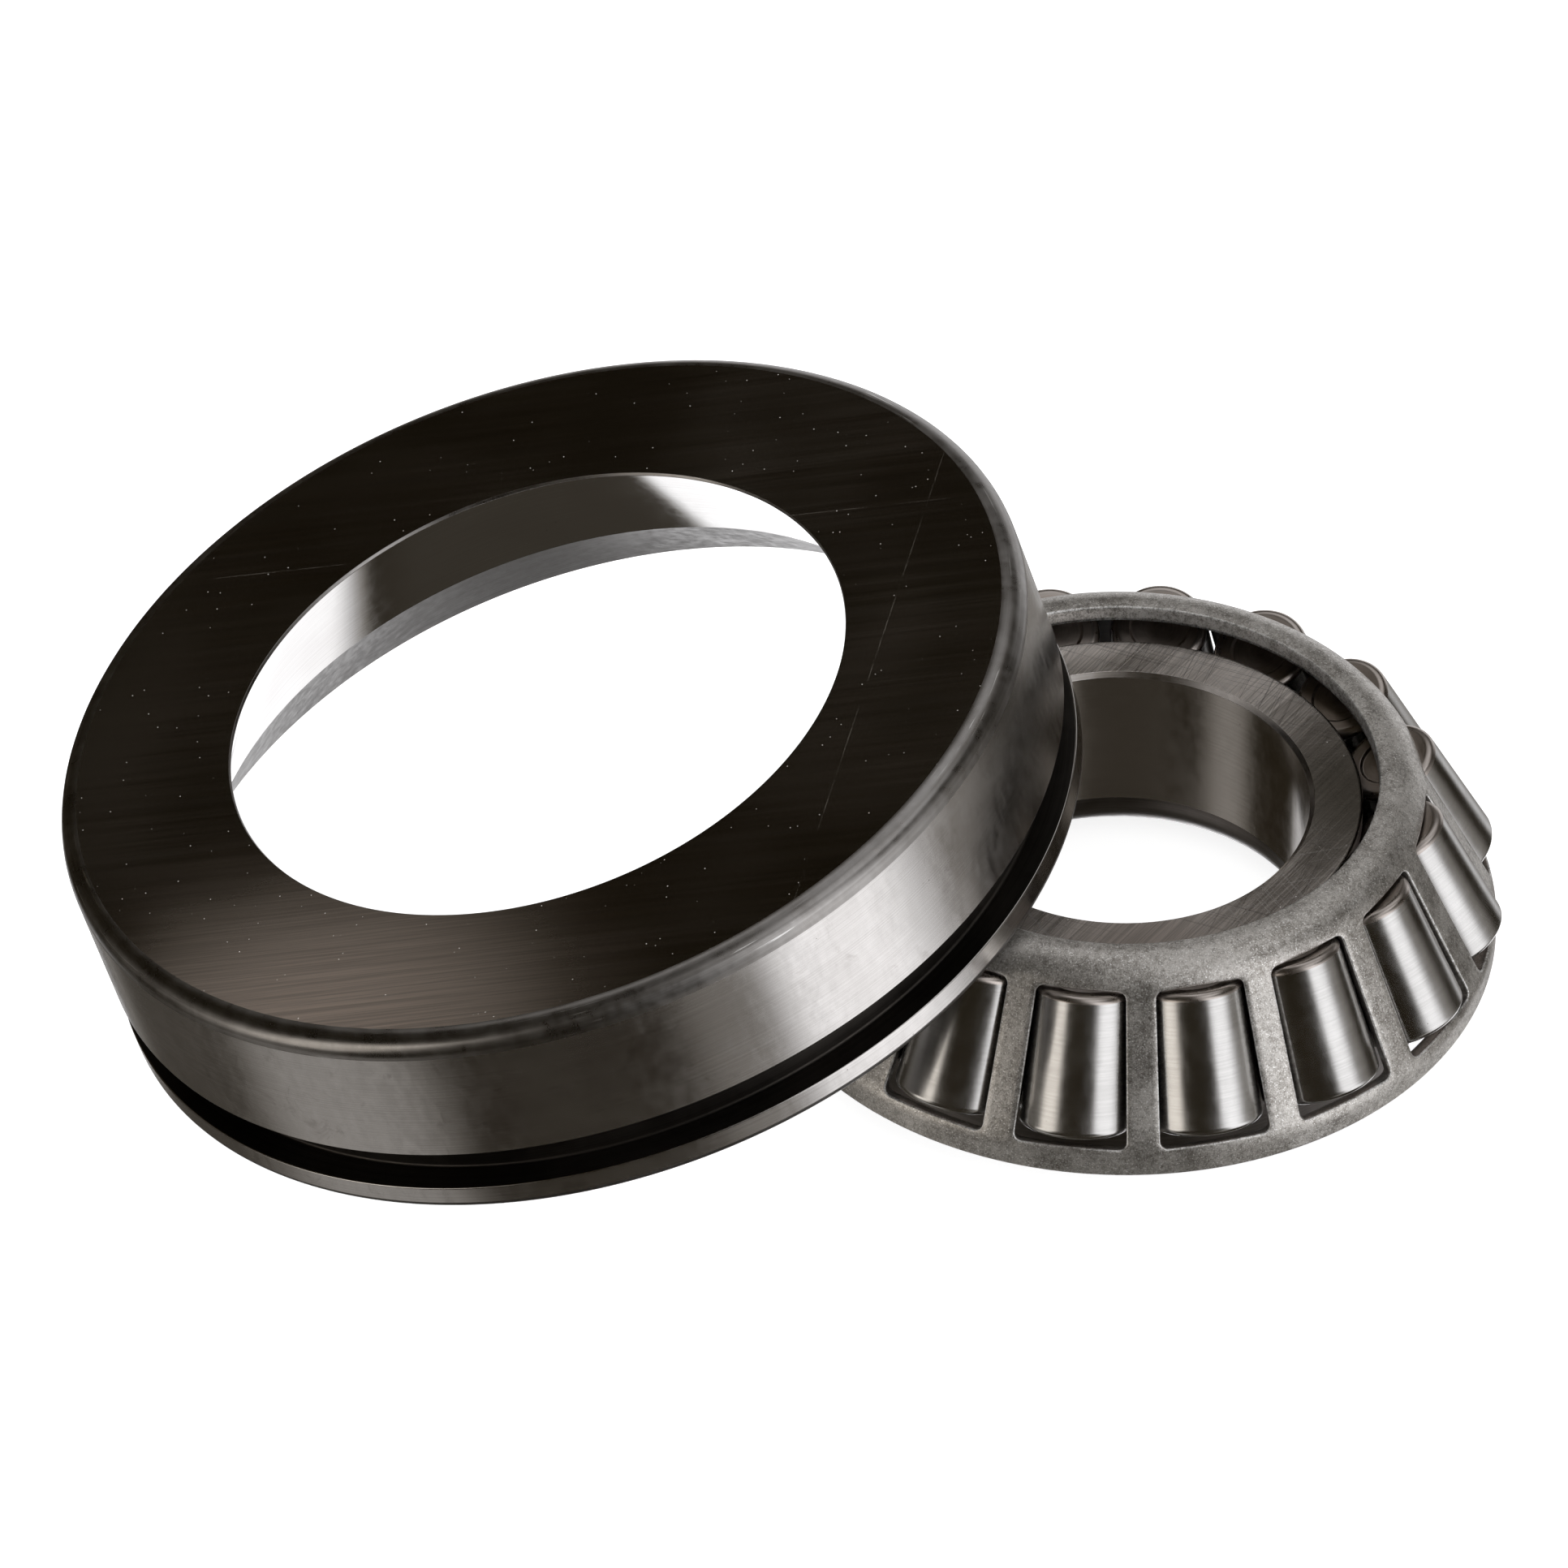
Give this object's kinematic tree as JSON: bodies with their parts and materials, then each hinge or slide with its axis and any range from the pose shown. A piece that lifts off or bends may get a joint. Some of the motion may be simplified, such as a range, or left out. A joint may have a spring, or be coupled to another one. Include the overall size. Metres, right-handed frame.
{
  "type": "tapered roller bearing",
  "caption": "Open tapered roller bearing: a grooved outer ring leans on the cage of an inner ring with tapered rollers, which carries radial and axial load on a shaft.",
  "frame": {"origin": "centre of the inner ring's bore at half the ring's width; the ring's wide back face stands on the bench 11.75 mm below", "axes": "+Z is the bore axis, from the wide back face to the small end; the outer ring leans in the XZ plane from the -X side, its open end to the bench; +Y completes the right-handed frame"},
  "size_m": [0.1536, 0.107, 0.0529],
  "materials": {
    "ring_steel": "ground bearing steel, satin faces and glossy outside",
    "cup_steel": "ground bearing steel, dark satin back face, honed race",
    "roller_steel": "polished bearing steel",
    "cage_steel": "matte pressed sheet steel with sheared edges"
  },
  "bodies": {
    "cone": {"cone": "ring_steel"},
    "cage": {"cage": "cage_steel"},
    "roller_01": {"roller_01": "roller_steel"},
    "roller_02": {"roller_02": "roller_steel"},
    "roller_03": {"roller_03": "roller_steel"},
    "roller_04": {"roller_04": "roller_steel"},
    "roller_05": {"roller_05": "roller_steel"},
    "roller_06": {"roller_06": "roller_steel"},
    "roller_07": {"roller_07": "roller_steel"},
    "roller_08": {"roller_08": "roller_steel"},
    "roller_09": {"roller_09": "roller_steel"},
    "roller_10": {"roller_10": "roller_steel"},
    "roller_11": {"roller_11": "roller_steel"},
    "roller_12": {"roller_12": "roller_steel"},
    "roller_13": {"roller_13": "roller_steel"},
    "roller_14": {"roller_14": "roller_steel"},
    "roller_15": {"roller_15": "roller_steel"},
    "roller_16": {"roller_16": "roller_steel"},
    "cup": {"cup": "cup_steel"}
  },
  "joints": [
    {"name": "cage_spin", "type": "hinge", "parent": "cone", "child": "cage", "pos_m": [0, 0, 0], "axis": [0, 0, 1], "continuous": true},
    {"name": "roller_01_spin", "type": "hinge", "parent": "cage", "child": "roller_01", "pos_m": [-0.00485, -0.03209, 0.0037], "axis": [0.0596, 0.3943, 0.9171], "continuous": true},
    {"name": "roller_02_spin", "type": "hinge", "parent": "cage", "child": "roller_02", "pos_m": [0.0078, -0.03151, 0.0037], "axis": [-0.0958, 0.3871, 0.9171], "continuous": true},
    {"name": "roller_03_spin", "type": "hinge", "parent": "cage", "child": "roller_03", "pos_m": [0.01926, -0.02613, 0.0037], "axis": [-0.2366, 0.321, 0.9171], "continuous": true},
    {"name": "roller_04_spin", "type": "hinge", "parent": "cage", "child": "roller_04", "pos_m": [0.02779, -0.01677, 0.0037], "axis": [-0.3414, 0.206, 0.9171], "continuous": true},
    {"name": "roller_05_spin", "type": "hinge", "parent": "cage", "child": "roller_05", "pos_m": [0.03209, -0.00485, 0.0037], "axis": [-0.3943, 0.0596, 0.9171], "continuous": true},
    {"name": "roller_06_spin", "type": "hinge", "parent": "cage", "child": "roller_06", "pos_m": [0.03151, 0.0078, 0.0037], "axis": [-0.3871, -0.0958, 0.9171], "continuous": true},
    {"name": "roller_07_spin", "type": "hinge", "parent": "cage", "child": "roller_07", "pos_m": [0.02613, 0.01926, 0.0037], "axis": [-0.321, -0.2366, 0.9171], "continuous": true},
    {"name": "roller_08_spin", "type": "hinge", "parent": "cage", "child": "roller_08", "pos_m": [0.01677, 0.02779, 0.0037], "axis": [-0.206, -0.3414, 0.9171], "continuous": true},
    {"name": "roller_09_spin", "type": "hinge", "parent": "cage", "child": "roller_09", "pos_m": [0.00485, 0.03209, 0.0037], "axis": [-0.0596, -0.3943, 0.9171], "continuous": true},
    {"name": "roller_10_spin", "type": "hinge", "parent": "cage", "child": "roller_10", "pos_m": [-0.0078, 0.03151, 0.0037], "axis": [0.0958, -0.3871, 0.9171], "continuous": true},
    {"name": "roller_11_spin", "type": "hinge", "parent": "cage", "child": "roller_11", "pos_m": [-0.01926, 0.02613, 0.0037], "axis": [0.2366, -0.321, 0.9171], "continuous": true},
    {"name": "roller_12_spin", "type": "hinge", "parent": "cage", "child": "roller_12", "pos_m": [-0.02779, 0.01677, 0.0037], "axis": [0.3414, -0.206, 0.9171], "continuous": true},
    {"name": "roller_13_spin", "type": "hinge", "parent": "cage", "child": "roller_13", "pos_m": [-0.03209, 0.00485, 0.0037], "axis": [0.3943, -0.0596, 0.9171], "continuous": true},
    {"name": "roller_14_spin", "type": "hinge", "parent": "cage", "child": "roller_14", "pos_m": [-0.03151, -0.0078, 0.0037], "axis": [0.3871, 0.0958, 0.9171], "continuous": true},
    {"name": "roller_15_spin", "type": "hinge", "parent": "cage", "child": "roller_15", "pos_m": [-0.02613, -0.01926, 0.0037], "axis": [0.321, 0.2366, 0.9171], "continuous": true},
    {"name": "roller_16_spin", "type": "hinge", "parent": "cage", "child": "roller_16", "pos_m": [-0.01677, -0.02779, 0.0037], "axis": [0.206, 0.3414, 0.9171], "continuous": true},
    {"name": "cup_tilt", "type": "hinge", "parent": "cone", "child": "cup", "pos_m": [-0.10608, 0, -0.01085], "axis": [0, -1, 0], "range_deg": [0, 70]}
  ],
  "couplings": [
    {"joint": "roller_01_spin", "follows": "cage_spin", "ratio": 4.7853},
    {"joint": "roller_02_spin", "follows": "cage_spin", "ratio": 4.7853},
    {"joint": "roller_03_spin", "follows": "cage_spin", "ratio": 4.7853},
    {"joint": "roller_04_spin", "follows": "cage_spin", "ratio": 4.7853},
    {"joint": "roller_05_spin", "follows": "cage_spin", "ratio": 4.7853},
    {"joint": "roller_06_spin", "follows": "cage_spin", "ratio": 4.7853},
    {"joint": "roller_07_spin", "follows": "cage_spin", "ratio": 4.7853},
    {"joint": "roller_08_spin", "follows": "cage_spin", "ratio": 4.7853},
    {"joint": "roller_09_spin", "follows": "cage_spin", "ratio": 4.7853},
    {"joint": "roller_10_spin", "follows": "cage_spin", "ratio": 4.7853},
    {"joint": "roller_11_spin", "follows": "cage_spin", "ratio": 4.7853},
    {"joint": "roller_12_spin", "follows": "cage_spin", "ratio": 4.7853},
    {"joint": "roller_13_spin", "follows": "cage_spin", "ratio": 4.7853},
    {"joint": "roller_14_spin", "follows": "cage_spin", "ratio": 4.7853},
    {"joint": "roller_15_spin", "follows": "cage_spin", "ratio": 4.7853},
    {"joint": "roller_16_spin", "follows": "cage_spin", "ratio": 4.7853}
  ]
}
